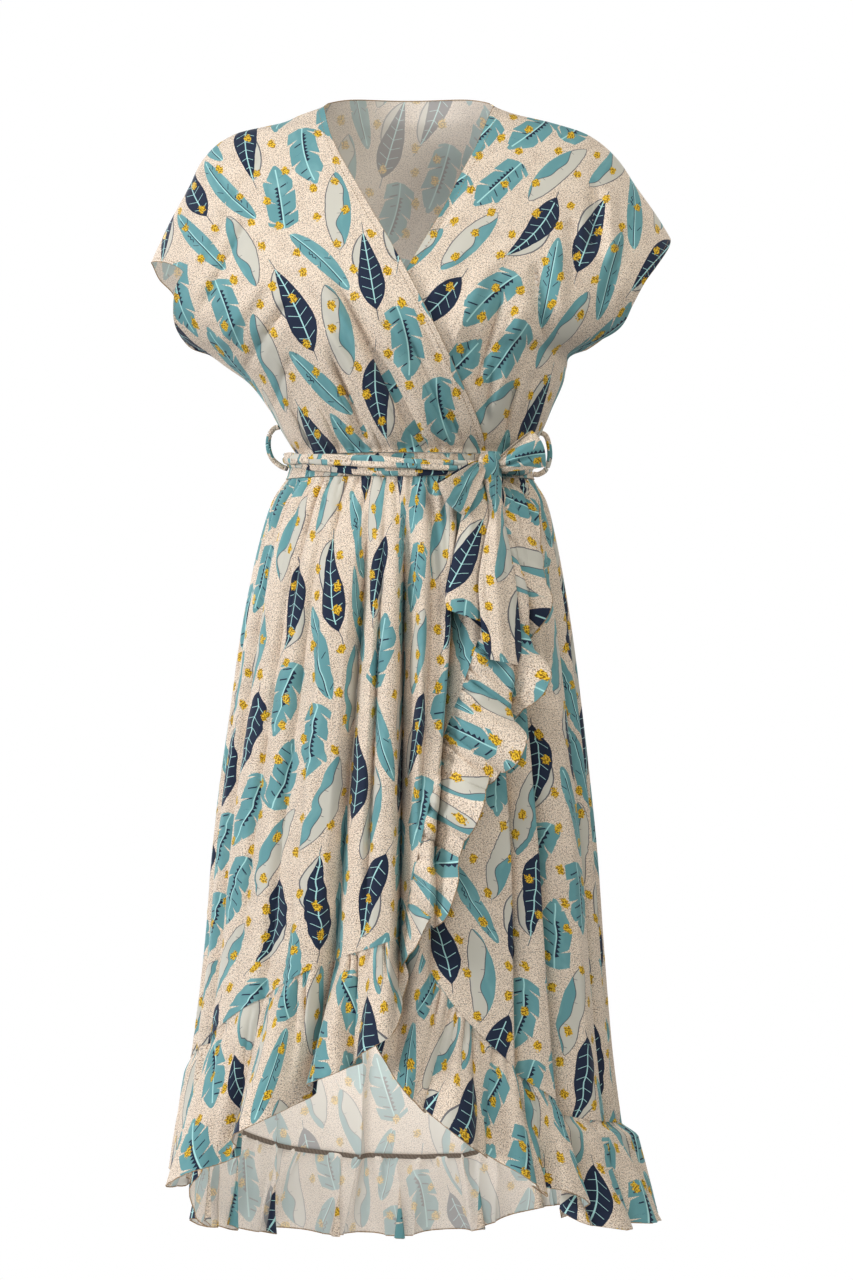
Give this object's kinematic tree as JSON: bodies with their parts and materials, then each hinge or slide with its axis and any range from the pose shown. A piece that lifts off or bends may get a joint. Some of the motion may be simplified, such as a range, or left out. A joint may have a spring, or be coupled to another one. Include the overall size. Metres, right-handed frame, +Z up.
{
  "type": "wrap dress",
  "caption": "Short-sleeved wrap dress with a crossover V neck, gathered waist, self tie belt with a bow, and a flounced skirt, longer behind.",
  "frame": {"origin": "middle of the shoulders between the two shoulder seams, where the wearer holds the dress up", "axes": "+Z up along the wearer's body, -Y towards the front, +X towards the wearer's left"},
  "size_m": [0.562, 0.3982, 1.2754],
  "materials": {
    "printed_crepe": "matte thin polyester crepe, speckled beige with printed banana leaves",
    "tie_crepe": "the same printed crepe, folded to a tie"
  },
  "bodies": {
    "root": {"bodice_front_right": "printed_crepe", "bodice_front_left": "printed_crepe", "bodice_back": "printed_crepe", "waist_casing": "printed_crepe", "skirt_front_right": "printed_crepe", "skirt_front_left": "printed_crepe", "skirt_back": "printed_crepe", "ruffle_front_right": "printed_crepe", "ruffle_front_left": "printed_crepe", "ruffle_back": "printed_crepe", "belt_lower": "tie_crepe", "belt_upper": "tie_crepe", "bow_knot": "tie_crepe", "bow_loop_right": "tie_crepe", "bow_loop_left": "tie_crepe", "belt_tail_wide": "tie_crepe", "belt_tail_narrow": "tie_crepe", "belt_loop_right": "tie_crepe", "belt_loop_left": "tie_crepe"}
  },
  "joints": []
}
